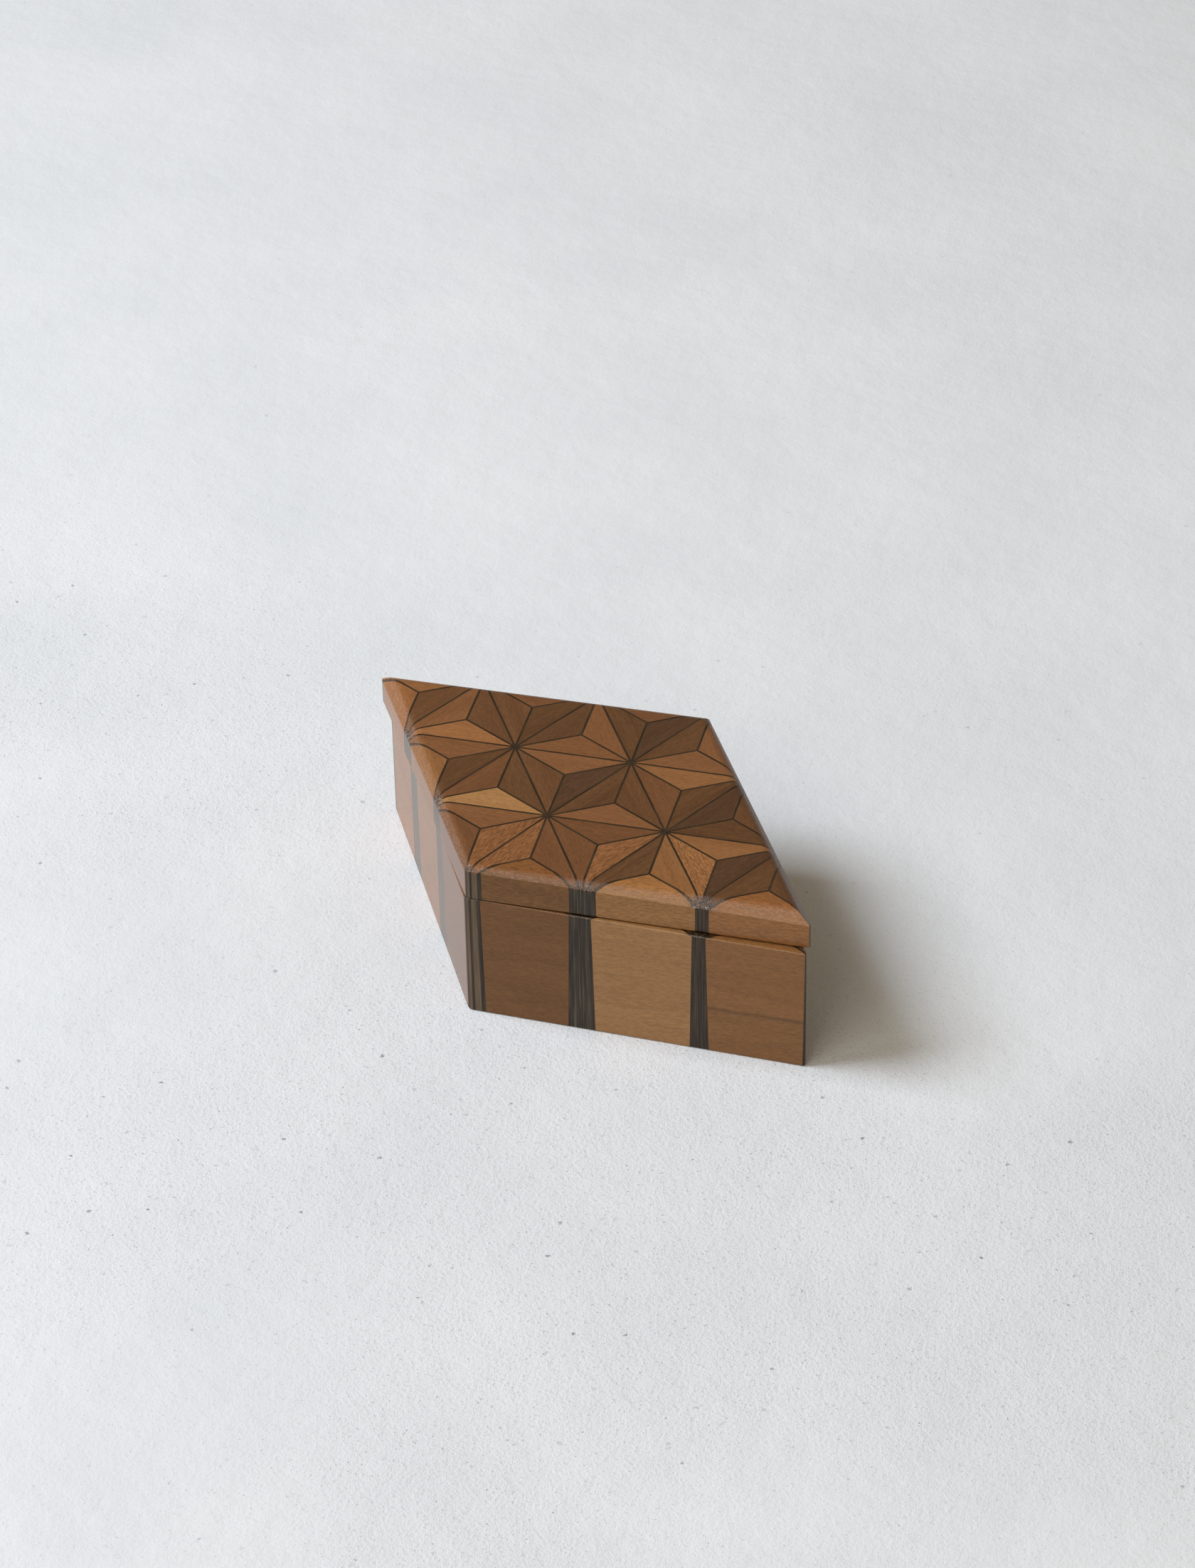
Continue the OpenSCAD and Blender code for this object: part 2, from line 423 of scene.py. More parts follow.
def darken_slip(piece, material):
    """The narrow outer faces beside a star are soaked with dye and glue. On the left face they are
    drawn in the paler grey slip, as painted sheen, the glancing reflection on that face. The lid's
    planed brow cuts below the dye."""
    piece.data.materials.append(material)
    piece.data.materials.append(GREY_SLIP)
    for face in piece.data.polygons:
        side = max(FACES, key=lambda name: face.center.dot(FACES[name]))
        outer = face.center.dot(FACES[side]) > FACE_AT - MM
        on_lid_brow = face.normal.z >= 0.2 and face.center.z >= BODY_H
        if outer and not on_lid_brow:
            # on the left face the paler grey slip is painted sheen
            face.material_index = 2 if side == "left" else 1


def wedge_block(part, blank, pattern, cutter, row, column, half):
    """A tile: three wedges round its middle, each of its own wood."""
    label = f"{ROWS[row]}_{COLUMNS[column]}_{half}"
    woods = (part == "body" and BODY_WOODS.get(label)) or LID_WOODS[label]
    stars = tile_stars(part, row, column, half)
    wedges = []
    for k, wood in enumerate(woods):
        a, b = stars[k], stars[(k + 1) % 3]
        wedge = stick(blank, pattern, cutter, wedge_cuts([middle_of(stars), a, b]), WOODS[wood], a, b,
                      f"{part} {label} {k}")
        if not wedge:
            continue
        if not is_panel(row, column, half, k):
            by_blunt_corner = (row, column) == (0, 0) and (half, k) in (("near", 2), ("far", 0))
            darken_slip(wedge, GREY_SLIP if by_blunt_corner else DARK_SLIP)
        wedges.append(wedge)
    return join(f"{part}_wedges_{label}", wedges)


def strips(part, blank, pattern, cutter):
    """The lattice veneers and the star arms, each set made one piece."""
    lattice, arms = [], []
    for column, row, way in LATTICE:
        start = star(part, column, row)
        end = star(part, column + AROUND[way][0], row + AROUND[way][1])
        cuts = lattice_cuts(part, column, row, way)
        lattice.append(stick(blank, pattern, cutter, cuts, DYED_VENEER, start, end,
                             f"{part} lattice {column} {row} {way}"))
    for row in range(3):
        for column in range(3):
            for half in HALVES:
                stars = tile_stars(part, row, column, half)
                for k in range(3):
                    arms.append(stick(blank, pattern, cutter, arm_cuts(stars, k), DYED_VENEER,
                                      stars[k], middle_of(stars),
                                      f"{part} arm {row} {column} {half} {k}"))
    return (join(f"{part}_lattice_veneer", [s for s in lattice if s]),
            join(f"{part}_arm_veneer", [s for s in arms if s]))


# ---------------------------------------------------------------- materials

# Lacquer polished by hand is a thin clear coat, part dulled. A full gloss coat has an IOR of 1.5 and
# a roughness under 0.1; this one mirrors less, and softly. The wood under it is matt.
LACQUER_IOR = 1.38
LACQUER_ROUGHNESS = 0.22
BARE_WOOD_ROUGHNESS = 0.6
WORN_OFF_THE_BROW = 0.45

# Settings that many nodes share
TIMES = {"operation": "MULTIPLY"}
TIMES_PLUS = {"operation": "MULTIPLY_ADD"}
SMOOTH = {"interpolation_type": "SMOOTHSTEP"}
BETWEEN = {"data_type": "FLOAT"}
COVER = {"data_type": "RGBA", "blend_type": "MIX", "clamp_result": True}
SHADE = {"data_type": "RGBA", "blend_type": "MULTIPLY", "clamp_result": True}


def linear(hex_colour):
    """An sRGB hex colour as linear light."""
    parts = [int(hex_colour[i:i + 2], 16) / 255 for i in (1, 3, 5)]
    return (*[c / 12.92 if c <= 0.04045 else ((c + 0.055) / 1.055) ** 2.4 for c in parts], 1)


def grey(level):
    return (level, level, level, 1)


def mixed(hex_a, hex_b, share):
    """The colour that lies the given share of the way from a to b."""
    pairs = [(int(hex_a[i:i + 2], 16), int(hex_b[i:i + 2], 16)) for i in (1, 3, 5)]
    return "#" + "".join(f"{round(a + (b - a) * share):02x}" for a, b in pairs)


def plug(socket, value):
    """Links another node's output into an input, or sets the input to a value."""
    if isinstance(value, bpy.types.NodeSocket):
        socket.id_data.links.new(value, socket)
    else:
        socket.default_value = value


def fill(node, **named):
    """Plugs values into a node's inputs by name."""
    for name, value in named.items():
        plug(node.inputs[name.replace("_", " ")], value)


def add(tree, kind, settings, *values, out=0, **named):
    """Adds a node with its settings and gives back one of its outputs. Its open inputs are plugged
    in turn, or by name. A colour ramp's stops are pairs of place and colour."""
    node = tree.nodes.new(kind)
    for name, value in settings.items():
        if name != "stops":
            setattr(node, name, value)
            continue
        bands = node.color_ramp.elements
        while len(bands) < len(value):
            bands.new(0.5)
        for band, (place, colour) in zip(bands, value):
            band.position, band.color = place, colour
    for socket, value in zip([s for s in node.inputs if s.enabled], values):
        plug(socket, value)
    fill(node, **named)
    if isinstance(out, str):
        return node.outputs[out]
    return [s for s in node.outputs if s.enabled][out]


def new_material(name):
    material = bpy.data.materials.new(name)
    material.use_nodes = True
    tree = material.node_tree
    shader = tree.nodes["Principled BSDF"]
    return material, tree, shader


def place_in_mm(tree, turn=(0, 0, 0)):
    """Each point's place in its own object, in millimetres, turned first if asked."""
    place = add(tree, "ShaderNodeTexCoord", {}, out="Object")
    return add(tree, "ShaderNodeMapping", {}, place, Rotation=turn, Scale=(1000, 1000, 1000))


def speckle(tree, place, per_mm, detail, roughness=0.5, distortion=0.0):
    """An uneven pattern. Its steps per millimetre along, across and up are one over its real size."""
    spread = add(tree, "ShaderNodeMapping", {}, place, Scale=per_mm)
    return add(tree, "ShaderNodeTexNoise", {}, spread, 1.0, detail, roughness, Distortion=distortion)


def star_distance(tree):
    """How far a point is from the nearer star of its own stick, in millimetres."""
    tip = add(tree, "ShaderNodeAttribute", {"attribute_name": "tip"}, out="Vector")
    along = add(tree, "ShaderNodeSeparateXYZ", {}, tip)
    aside, length = along.node.outputs["Y"], along.node.outputs["Z"]
    from_end = add(tree, "ShaderNodeMath", {"operation": "SUBTRACT"}, along, length)
    reach = []
    for run in (along, from_end):
        flat = add(tree, "ShaderNodeCombineXYZ", {}, run, aside)
        reach.append(add(tree, "ShaderNodeVectorMath", {"operation": "LENGTH"}, flat))
    return add(tree, "ShaderNodeMath", {"operation": "MINIMUM"}, *reach)


def upward(tree):
    """How far a face looks up: 0 on an upright face, 1 on a level one."""
    normal = add(tree, "ShaderNodeNewGeometry", {}, out="Normal")
    return add(tree, "ShaderNodeSeparateXYZ", {}, normal, out="Z")


def on_brow(tree):
    """1 on the lid's brow and on eased upper edges, 0 on the flat top and on the upright faces."""
    slope = upward(tree)
    not_upright = add(tree, "ShaderNodeMapRange", SMOOTH, slope, 0.2, 0.45, 0.0, 1.0)
    not_level = add(tree, "ShaderNodeMapRange", SMOOTH, slope, 0.8, 0.96, 1.0, 0.0)
    return add(tree, "ShaderNodeMath", TIMES, not_upright, not_level)


def on_rim(tree, place):
    """1 on the level rim of the body, under the lid, where painted shade darkens the gap."""
    rim = BODY_H / MM
    height = add(tree, "ShaderNodeSeparateXYZ", {}, place, out="Z")
    under_lid = add(tree, "ShaderNodeMapRange", SMOOTH, height, rim + 0.02, rim + 0.1, 1.0, 0.0)
    level = add(tree, "ShaderNodeMapRange", SMOOTH, upward(tree), 0.85, 0.95, 0.0, 1.0)
    return add(tree, "ShaderNodeMath", TIMES, level, under_lid)


def rubbed_and_painted_sheen(tree, colour, brow, place):
    """The brow and the eased edges are drawn paler, in flecks 0.4 mm across. This is partly the
    lacquer worn thin there and partly painted sheen, the pale reflection these slopes catch.
    """
    flecks = speckle(tree, place, (2.6, 2.6, 5.0), 2.0, roughness=0.6)
    share = add(tree, "ShaderNodeMapRange", SMOOTH, flecks, 0.4, 0.72, 0.08, 0.28)
    share = add(tree, "ShaderNodeMath", TIMES, brow, share)
    # pale pinkish grey: part worn finish, part painted sheen
    return add(tree, "ShaderNodeMix", COVER, share, colour, linear("#c2aa9d"))


def frayed(tree, colour, brow, place):
    """Where the veneers crowd together at a star on the brow, planing has torn them: a dark grey
    patch with pale upright hairs. Torn fibres are 0.05 mm thick, too fine to show, so they are
    drawn 0.12 mm thick."""
    near = add(tree, "ShaderNodeMapRange", SMOOTH, star_distance(tree), 1.6, 3.2, 1.0, 0.0)
    near = add(tree, "ShaderNodeMath", TIMES, brow, near)
    spots = speckle(tree, place, (1.6, 1.6, 1.6), 3.0)
    torn = add(tree, "ShaderNodeMapRange", SMOOTH, spots, 0.35, 0.6, 0.1, 0.85)
    torn = add(tree, "ShaderNodeMath", TIMES, near, torn)
    colour = add(tree, "ShaderNodeMix", COVER, torn, colour, linear("#483f3c"))
    hairs = speckle(tree, place, (8.0, 8.0, 0.8), 2.0, distortion=0.2)
    pale = add(tree, "ShaderNodeMapRange", SMOOTH, hairs, 0.58, 0.66, 0.0, 0.75)
    pale = add(tree, "ShaderNodeMath", TIMES, near, pale)
    return add(tree, "ShaderNodeMix", COVER, pale, colour, linear("#cfc9c6"))


def satin(tree, shader, colour, brow):
    """Matt wood under a clear coat of lacquer polished by hand, about half of it worn off the brow.
    """
    coat = add(tree, "ShaderNodeMath", TIMES_PLUS, brow, -WORN_OFF_THE_BROW, 1.0)
    fill(shader, Base_Color=colour, Roughness=BARE_WOOD_ROUGHNESS, Specular_IOR_Level=0.0,
         Coat_Weight=coat, Coat_Roughness=LACQUER_ROUGHNESS, Coat_IOR=LACQUER_IOR)


def growth_line(tree, colour):
    """One dark growth line across a panel, 10 mm up and nearly level, the wood below it a little
    deeper in tone."""
    along = add(tree, "ShaderNodeSeparateXYZ", {}, place_in_mm(tree))
    height = add(tree, "ShaderNodeMath", TIMES_PLUS, along, -0.013, along.node.outputs["Z"])
    # the ramp starts 5.7 mm up and ends 13.7 mm up, with the line near its middle
    across = add(tree, "ShaderNodeMapRange", {}, height, 5.7, 13.7)
    stops = ((0.0, grey(0.96)), (0.4, grey(0.9)), (0.478, grey(0.64)), (0.5, grey(0.66)),
             (0.56, grey(1.0)))
    shade = add(tree, "ShaderNodeValToRGB", {"stops": stops}, across)
    return add(tree, "ShaderNodeMix", SHADE, 1.0, colour, shade)


def lacquered_wood(name, tone, top=None, contrast=0.045, figure=0.2, pore=0.2, line=False):
    """Planed hardwood under a thin satin lacquer. Growth bands 4 mm wide run along the grain with
    fibres 0.5 mm apart in them, and over those lie short strokes of light and dark, 0.2 mm wide and 1
    mm long, strong in figured wood, and a mottle of 0.25 mm. The strokes are partly the figure's own
    tone and partly painted highlight and shade, the shimmer that figured wood shows under light. Most
    pores of these woods are 0.05 to 0.1 mm wide, too fine to show, so they are drawn 0.12 mm wide.
    Top is the wood's tone where it looks up, if the stain took differently there. Contrast, figure
    and pore say how far the bands, the strokes and the pores stray from the tone."""
    material, tree, shader = new_material(name)
    place = place_in_mm(tree)
    grain = add(tree, "ShaderNodeAttribute", {"attribute_name": "grain"}, out="Vector")
    bands = speckle(tree, grain, (0.012, 0.26, 0.26), 2.0, distortion=0.6)
    fibres = speckle(tree, grain, (0.08, 2.2, 2.2), 4.0, roughness=0.65)
    rings = add(tree, "ShaderNodeMix", BETWEEN, 0.5, bands, fibres)

    def banded(hex_tone):
        early = linear(mixed(hex_tone, "#ffe2b8", contrast * 0.7))
        late = linear(mixed(hex_tone, "#160a04", contrast * 1.5))
        return add(tree, "ShaderNodeValToRGB", {"stops": ((0.38, early), (0.62, late))}, rings)

    colour = banded(tone)
    if top:
        level = add(tree, "ShaderNodeMapRange", SMOOTH, upward(tree), 0.6, 0.8, 0.0, 1.0)
        colour = add(tree, "ShaderNodeMix", COVER, level, colour, banded(top))
    # short strokes: part figure, part painted highlight and shade of its shimmer
    strokes = speckle(tree, grain, (0.8, 4.8, 4.8), 2.0, distortion=0.15)
    mottle = speckle(tree, grain, (2.2, 4.0, 4.0), 3.0, roughness=0.75)
    pores = speckle(tree, grain, (1.1, 8.0, 8.0), 1.0)
    shades = []
    for pattern, stops in ((strokes, ((0.4, grey(1 - figure)), (0.6, grey(1)))),
                           (mottle, ((0.38, grey(0.9)), (0.62, grey(1)))),
                           (pores, ((0.6, grey(1)), (0.7, grey(1 - pore))))):
        shades.append(add(tree, "ShaderNodeValToRGB", {"stops": stops}, pattern))
        colour = add(tree, "ShaderNodeMix", SHADE, 1.0, colour, shades[-1])
    if line:
        colour = growth_line(tree, colour)

    # glue and dye have crept into the wood right at the star; on the body's rim under the lid, the
    # wide near-black patch round each star is painted shade, the dark of the gap there
    from_star = star_distance(tree)
    stain = add(tree, "ShaderNodeMapRange", SMOOTH, from_star, 0.4, 1.2, 0.55, 0.0)
    colour = add(tree, "ShaderNodeMix", COVER, stain, colour, linear("#33251a"))
    # painted shade: the rim in the gap under the lid is drawn nearly black near each star
    soaked = add(tree, "ShaderNodeMapRange", SMOOTH, from_star, 1.9, 3.2, 0.9, 0.0)
    soaked = add(tree, "ShaderNodeMath", TIMES, on_rim(tree, place), soaked)
    colour = add(tree, "ShaderNodeMix", COVER, soaked, colour, linear("#1c1610"))

    brow = on_brow(tree)
    satin(tree, shader, frayed(tree, rubbed_and_painted_sheen(tree, colour, brow, place), brow, place), brow)
    ripple, _, pits = shades
    relief = add(tree, "ShaderNodeBump", {}, Strength=0.3, Distance=0.02 * MM, Height=pits)
    relief = add(tree, "ShaderNodeBump", {}, Strength=0.2 + figure, Distance=0.03 * MM,
                 Height=ripple, Normal=relief)
    fill(shader, Normal=relief)
    return material


def dyed_wood(name, dark, light, share):
    """Dyed veneer or slip seen on edge, under the same lacquer. A few paler fibres run along it,
    finer in the wood than the 0.2 mm they are drawn with so that they show."""
    material, tree, shader = new_material(name)
    place = place_in_mm(tree)
    grain = add(tree, "ShaderNodeAttribute", {"attribute_name": "grain"}, out="Vector")
    fibres = speckle(tree, grain, (0.1, 5.0, 0.1), 3.0, roughness=0.6)
    stops = ((0.4, linear(dark)), (0.4 + share, linear(light)))
    colour = add(tree, "ShaderNodeValToRGB", {"stops": stops}, fibres)
    brow = on_brow(tree)
    satin(tree, shader, frayed(tree, rubbed_and_painted_sheen(tree, colour, brow, place), brow, place), brow)
    return material


def sanded_wood(name, tone, turn=(0, 0, 0)):
    """Plain sanded wood with no lacquer, its grain along X unless turned: bands 3 mm wide, and
    fibres 0.4 mm apart."""
    material, tree, shader = new_material(name)
    place = place_in_mm(tree, turn)
    bands = speckle(tree, place, (0.02, 0.35, 0.35), 3.0, distortion=0.8)
    fibres = speckle(tree, place, (0.08, 2.6, 2.6), 4.0, roughness=0.65)
    rings = add(tree, "ShaderNodeMix", BETWEEN, 0.5, bands, fibres)
    early, late = linear(mixed(tone, "#fff0d8", 0.12)), linear(mixed(tone, "#5a3a1c", 0.2))
    colour = add(tree, "ShaderNodeValToRGB", {"stops": ((0.38, early), (0.62, late))}, rings)
    relief = add(tree, "ShaderNodeBump", {}, Strength=0.25, Distance=0.03 * MM, Height=fibres)
    fill(shader, Base_Color=colour, Roughness=0.7, Normal=relief)
    return material


def turned_metal(name, bright, roughness):
    """Metal with fine turning rings about the upright axis. They are 0.03 mm apart, too fine to
    show, so they are drawn 0.07 mm apart."""
    material, tree, shader = new_material(name)
    rings = speckle(tree, place_in_mm(tree), (0.4, 0.4, 14.0), 2.0)
    stops = ((0.35, linear(mixed(bright, "#000000", 0.12))), (0.65, linear(bright)))
    colour = add(tree, "ShaderNodeValToRGB", {"stops": stops}, rings)
    relief = add(tree, "ShaderNodeBump", {}, Strength=0.2, Distance=0.01 * MM, Height=rings)
    fill(shader, Base_Color=colour, Metallic=1.0, Roughness=roughness, Normal=relief)
    return material


# The lines of the pattern: nearly black brown, even, with a dull gleam
DYED_VENEER = dyed_wood("dyed dark veneer under satin lacquer", "#281e15", "#4c3c2a", 0.3)
# The stripes down the faces: dark with a few paler upright fibres
DARK_SLIP = dyed_wood("slip of walnut soaked with black dye", "#232019", "#625a49", 0.34)
# Stripes that took less dye: grey brown, between the dark lines. The left face's dark stripes are
# drawn in it too, as painted sheen, the pale glancing reflection on that face.
GREY_SLIP = dyed_wood("slip of grey brown dyed maple", "#5c4c39", "#75644e", 0.3)

WOODS = {
    # walnut: cool dark browns with open pores
    "dark_walnut": lacquered_wood("dark walnut, satin lacquer", "#5b3d29", contrast=0.065),
    "walnut": lacquered_wood("walnut, satin lacquer", "#6b482c", contrast=0.065),
    "brown_walnut": lacquered_wood("brown walnut, satin lacquer", "#754e31", contrast=0.055),
    # cherry: warm mid browns, even and close; the lid's front one is figured and is redder on top
    "brown_cherry": lacquered_wood("brown cherry, satin lacquer", "#7e552c"),
    "figured_cherry": lacquered_wood("figured cherry, satin lacquer", "#82582c", top="#915f34",
                                     figure=0.3),
    "cherry": lacquered_wood("aged cherry, satin lacquer", "#7f5434"),
    # zelkova: orange browns, one with a growth line, one with a ripple that shows as short strokes
    "keyaki": lacquered_wood("zelkova, satin lacquer", "#8e5f3b"),
    "lined_keyaki": lacquered_wood("zelkova with a dark growth line, satin lacquer", "#94663a",
                                   line=True),
    "figured_keyaki": lacquered_wood("figured zelkova, satin lacquer", "#a06a41", figure=0.45),
    # stained maple: amber to gold, smooth, hardly a pore; on the lid's front the top took the stain
    # differently from the face
    "amber_maple": lacquered_wood("amber stained maple, satin lacquer", "#9b693f", pore=0.12),
    "figured_maple": lacquered_wood("figured amber maple, satin lacquer", "#b47b4b", figure=0.45,
                                    pore=0.12),
    "tawny_maple": lacquered_wood("tawny stained maple, satin lacquer", "#a26e3e", top="#a0683b",
                                  figure=0.3, pore=0.12),
    "pale_maple": lacquered_wood("pale amber maple, satin lacquer", "#a46e42", pore=0.12),
    "honey_maple": lacquered_wood("honey maple, satin lacquer", "#a77743", top="#b17a45", figure=0.3,
                                  pore=0.1),
    "tan_maple": lacquered_wood("tan maple, satin lacquer", "#ac8051", pore=0.1),
    "golden_maple": lacquered_wood("golden maple, satin lacquer", "#b78553", pore=0.1),
}

# The wood of each tile's three wedges. Near tiles: along the front, along the right, along the
# diagonal. Far tiles: along the diagonal, along the back, along the left.
LID_WOODS = {
    "front_left_near": ("figured_cherry", "cherry", "figured_keyaki"),
    "front_left_far": ("figured_keyaki", "keyaki", "cherry"),
    "front_centre_near": ("honey_maple", "amber_maple", "walnut"),
    "front_centre_far": ("figured_keyaki", "cherry", "cherry"),
    "front_right_near": ("tawny_maple", "walnut", "walnut"),
    "front_right_far": ("dark_walnut", "amber_maple", "figured_maple"),
    "middle_left_near": ("golden_maple", "walnut", "cherry"),
    "middle_left_far": ("walnut", "keyaki", "amber_maple"),
    "middle_centre_near": ("keyaki", "brown_walnut", "walnut"),
    "middle_centre_far": ("dark_walnut", "keyaki", "brown_walnut"),
    "middle_right_near": ("walnut", "brown_walnut", "dark_walnut"),
    "middle_right_far": ("walnut", "amber_maple", "cherry"),
    "back_left_near": ("pale_maple", "brown_walnut", "keyaki"),
    "back_left_far": ("brown_walnut", "amber_maple", "pale_maple"),
    "back_centre_near": ("keyaki", "keyaki", "walnut"),
    "back_centre_far": ("walnut", "cherry", "brown_walnut"),
    "back_right_near": ("keyaki", "keyaki", "walnut"),
    "back_right_far": ("dark_walnut", "cherry", "walnut"),
}
# Tiles of the body that aren't of the same woods as those above them in the lid
BODY_WOODS = {
    "front_left_near": ("brown_cherry", "cherry", "figured_keyaki"),
    "front_centre_near": ("tan_maple", "amber_maple", "walnut"),
    "front_right_near": ("lined_keyaki", "walnut", "walnut"),
}

# ---------------------------------------------------------------- the box


def settle(piece, body, node):
    """Turns a lid piece to where the lid stands ajar, smooths it and puts it in the node's place."""
    if body == "lid":
        piece.matrix_world = (Matrix.Translation(PIVOT_AT) @ Matrix.Rotation(AJAR, 4, "Z")
                              @ Matrix.Translation(-PIVOT_AT))
        pick(piece)
        bpy.ops.object.transform_apply(location=True, rotation=True, scale=True)
    soften(piece)
    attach(piece, body)
    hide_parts(node)


def build_patterned(part, body, blank, pattern, cutter, skip=()):
    """Builds the tiles and veneers of the body or the lid. Skip names the places, by row and
    column, where the hollow leaves nothing of a tile."""
    for row in range(3):
        for column in range(3):
            for half in HALVES:
                if (row, column) in skip:
                    continue
                tile = wedge_block(part, blank, pattern, cutter, row, column, half)
                settle(tile, body, f"{part}_tile_{ROWS[row]}_{COLUMNS[column]}_{half}")
    lattice, arms = strips(part, blank, pattern, cutter)
    settle(lattice, body, f"{part}_grid_veneers")
    settle(arms, body, f"{part}_star_veneers")


def dress(node, material):
    """Gives a CAD node that is kept its finish."""
    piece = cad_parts[node]
    if not piece.material_slots:
        piece.data.materials.append(material)
    for place in piece.material_slots:
        place.material = material


# Bare inside woods: pale and dry, faint bands along the grain
plain_board = sanded_wood("basswood board, sanded", "#b8925f")
dress("bottom_board", plain_board)
dress("lid_core", plain_board)
block_wood = sanded_wood("magnolia block, sanded", "#b89768")
dress("pivot_block", block_wood)
dress("lock_block", block_wood)
turned_birch = sanded_wood("turned birch, waxed", "#c4a47a", turn=(0, math.radians(90), 0))
dress("pivot_dowel", turned_birch)
dress("dowel_collar", turned_birch)
# Bright grey metal with fine rings
dress("lock_pin", turned_metal("turned steel", "#c2c4c6", 0.3))
# Soft yellow metal, a little duller
dress("pin_keeper", turned_metal("brass sheet, brushed", "#d3b87c", 0.35))

cavity = rhombic_block("cavity", WALL, -PAST, BODY_H + PAST)
pocket = rhombic_block("pocket", LID_RIM, LID_Z - PAST, LID_Z + CORE_T)
body_wood, lid_wood = body_blank(), lid_blank()
build_patterned("body", "box_body", body_wood, BODY_PATTERN, cavity, skip={(1, 1)})
build_patterned("lid", "lid", lid_wood, LID_PATTERN, pocket)
scrap(cavity, pocket, body_wood, lid_wood)

# ---------------------------------------------------------------- floor, light and camera

# The camera stands to the front right and looks down on the box through a long lens, in
# millimetres. It sees nothing nearer or further than the last two, in metres.
CAMERA_AT = Vector((222.84, -737.35, 609.26)) * MM
CAMERA_AHEAD = Vector((-0.23072, 0.76769, -0.59785))
CAMERA_ROLL = math.radians(-1.133)
LENS = 120.47
NEAREST, FURTHEST = 0.05, 20

# Wide enough to run past the view, in metres
FLOOR_SIZE = 6

# Coarser grit in the plaster, 2 mm and 0.8 mm across: its steps per millimetre, the levels of the
# pattern at which a grain starts and is full, and how dark it is
GRIT = ((0.45, 0.67, 0.76, 0.78), (1.3, 0.62, 0.7, 0.76))
# Pinholes left by air in the plaster, each drawn cool grey as painted shade inside the hole: the
# spacing and the radius in millimetres, the share of places that have one, and how strongly it shows
PINHOLES = ((9.0, 0.5, 0.4, 0.85), (2.4, 0.22, 0.7, 0.65))


def pinholes(tree, place, spacing, radius, share):
    """How deep a point lies in scattered pinholes, at most one to each cell this far apart, in
    millimetres. The rim of each is ragged, and chance makes it smaller or fainter."""
    distance = add(tree, "ShaderNodeTexVoronoi", {"voronoi_dimensions": "2D"}, place, 1 / spacing)
    chance = add(tree, "ShaderNodeSeparateXYZ", {}, distance.node.outputs["Color"])
    ragged = speckle(tree, place, (0.7 / radius, 1.2 / radius, 0.7 / radius), 2.0)
    reach = add(tree, "ShaderNodeMath", TIMES_PLUS, ragged, 2.4 * radius / spacing, distance)
    reach = add(tree, "ShaderNodeMath", TIMES_PLUS, chance.node.outputs["Y"], 0.8 * radius / spacing,
                reach)
    inside = add(tree, "ShaderNodeMapRange", SMOOTH, reach, 1.6 * radius / spacing,
                 2.3 * radius / spacing, 1.0, 0.0)
    strength = add(tree, "ShaderNodeMapRange", SMOOTH, chance, 1 - share, 1.0, 0.0, 1.0)
    return add(tree, "ShaderNodeMath", TIMES, inside, strength)


def white_plaster():
    """Trowelled white plaster: matt, with clouds 55 mm across, ripples 8 mm across left by the
    trowel, fine sand, and small dark pits that give the eye its scale. The grey in each pinhole is
    painted shade."""
    material, tree, shader = new_material("white plaster, trowelled")
    place = place_in_mm(tree)
    cloud = speckle(tree, place, (0.018, 0.018, 0.018), 4.0)
    stops = ((0.3, linear("#e3e9ef")), (0.7, linear("#ecf1f7")))
    colour = add(tree, "ShaderNodeValToRGB", {"stops": stops}, cloud)

    # sand 0.8 mm across stands out more in some places than in others, and least behind the box
    patches = speckle(tree, place, (0.006, 0.006, 0.006), 2.0)
    worn = add(tree, "ShaderNodeMapRange", SMOOTH, patches, 0.42, 0.6, 0.45, 1.0)
    behind = add(tree, "ShaderNodeSeparateXYZ", {}, place, out="Y")
    calm = add(tree, "ShaderNodeMapRange", SMOOTH, behind, 20.0, 160.0, 1.0, 0.3)
    worn = add(tree, "ShaderNodeMath", TIMES, worn, calm)
    sand = speckle(tree, place, (1.3, 1.3, 1.3), 3.0, roughness=0.75)
    stops = ((0.3, grey(0.91)), (0.5, grey(1)))
    shade = add(tree, "ShaderNodeValToRGB", {"stops": stops}, sand)
    colour = add(tree, "ShaderNodeMix", SHADE, worn, colour, shade)
    for per_mm, low, high, dark in GRIT:
        grit = speckle(tree, place, (per_mm, per_mm, per_mm), 2.0, roughness=0.6)
        stops = ((low, grey(1)), (high, grey(dark)))
        shade = add(tree, "ShaderNodeValToRGB", {"stops": stops}, grit)
        colour = add(tree, "ShaderNodeMix", SHADE, worn, colour, shade)
    for spacing, radius, share, strength in PINHOLES:
        pinhole_shade = pinholes(tree, place, spacing, radius, share)
        pinhole_shade = add(tree, "ShaderNodeMath", TIMES, pinhole_shade, worn)
        pinhole_shade = add(tree, "ShaderNodeMath", TIMES, pinhole_shade, strength)
        # painted shade: each pinhole is drawn cool grey, the shade inside the hole
        colour = add(tree, "ShaderNodeMix", COVER, pinhole_shade, colour, linear("#7d838a"))

    ripples = speckle(tree, place, (0.12, 0.12, 0.12), 5.0, roughness=0.62)
    relief = add(tree, "ShaderNodeBump", {}, Strength=0.4, Distance=1.0 * MM, Height=ripples)
    sandy = add(tree, "ShaderNodeMath", TIMES, worn, 0.8)
    relief = add(tree, "ShaderNodeBump", {}, Strength=sandy, Distance=0.3 * MM, Height=sand,
                 Normal=relief)
    fill(shader, Base_Color=colour, Roughness=0.9, Specular_IOR_Level=0.2, Normal=relief)
    return material


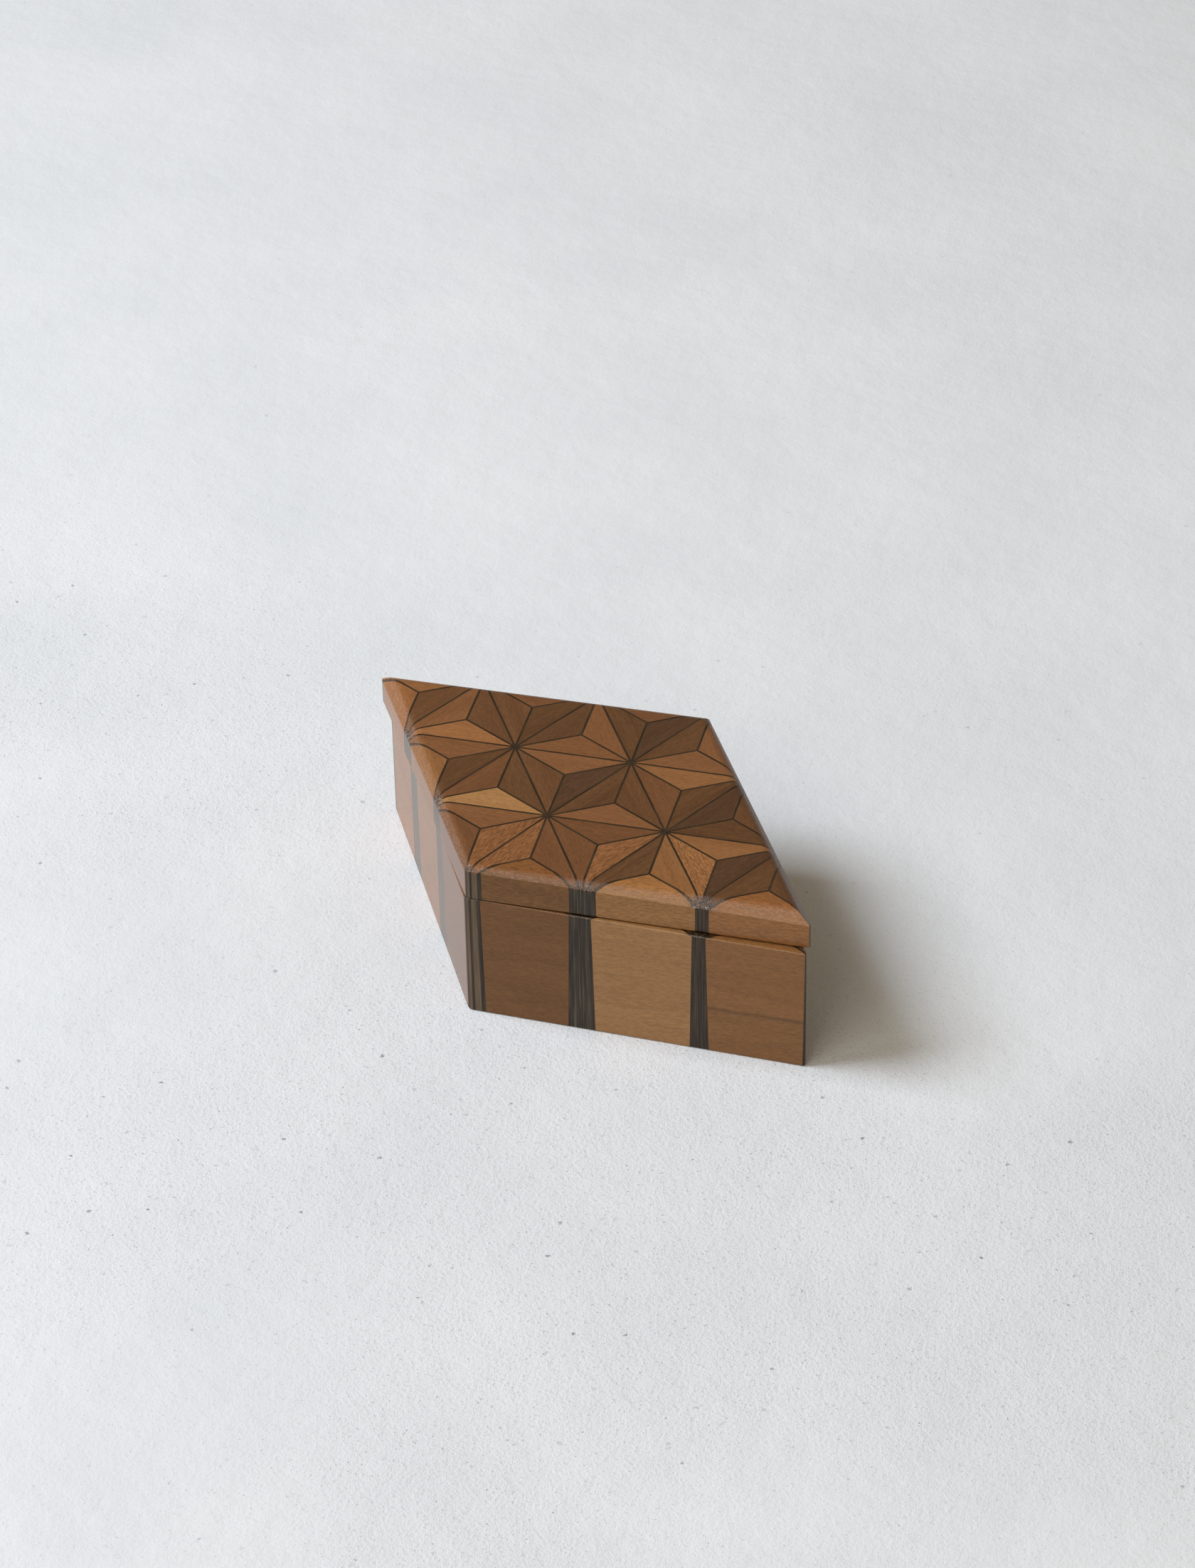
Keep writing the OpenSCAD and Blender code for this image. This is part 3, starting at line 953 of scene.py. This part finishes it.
def build_floor():
    bpy.ops.object.select_all(action="DESELECT")
    bpy.ops.mesh.primitive_plane_add(size=FLOOR_SIZE)
    floor = bpy.context.object
    floor.name = "floor"
    floor.data.materials.append(white_plaster())


def add_lamp(name, bearing, height, distance, size, power, colour):
    """A soft square lamp aimed at the box. Bearing is anticlockwise from the right and height above
    the floor, both in degrees; distance and size are in metres and power in watts."""
    a, h = math.radians(bearing), math.radians(height)
    towards = Vector((math.cos(a) * math.cos(h), math.sin(a) * math.cos(h), math.sin(h)))
    lamp = bpy.data.lights.new(name, "AREA")
    lamp.shape, lamp.size, lamp.energy, lamp.color = "SQUARE", size, power, linear(colour)[:3]
    holder = bpy.data.objects.new(name, lamp)
    bpy.context.collection.objects.link(holder)
    holder.location = towards * distance
    holder.rotation_mode = "QUATERNION"
    holder.rotation_quaternion = towards.to_track_quat("Z", "Y")


def light_the_room():
    """A cool window to the left, a warm pale wall in front, and a little warm light all round."""
    add_lamp("window", bearing=192, height=48, distance=1.6, size=0.72, power=22.0, colour="#f3f8ff")
    add_lamp("pale wall", bearing=252, height=42, distance=1.6, size=1.0, power=6.4, colour="#fdf5e8")
    world = bpy.data.worlds.new("pale room")
    bpy.context.scene.world = world
    world.use_nodes = True
    fill(world.node_tree.nodes["Background"], Color=linear("#fde7c8"), Strength=0.25)


def add_camera():
    ahead = CAMERA_AHEAD.normalized()
    level = ahead.cross(UP).normalized()
    right = level * math.cos(CAMERA_ROLL) + level.cross(ahead) * math.sin(CAMERA_ROLL)
    turned = Matrix((right, right.cross(ahead), -ahead)).transposed()
    camera = bpy.data.objects.new("camera", bpy.data.cameras.new("camera"))
    bpy.context.collection.objects.link(camera)
    camera.location = CAMERA_AT
    camera.rotation_mode = "QUATERNION"
    camera.rotation_quaternion = turned.to_quaternion()
    camera.data.lens = LENS
    camera.data.clip_start, camera.data.clip_end = NEAREST, FURTHEST
    bpy.context.scene.camera = camera


build_floor()
light_the_room()
add_camera()
bpy.context.scene.view_settings.view_transform = "Standard"

bpy.context.view_layer.update()
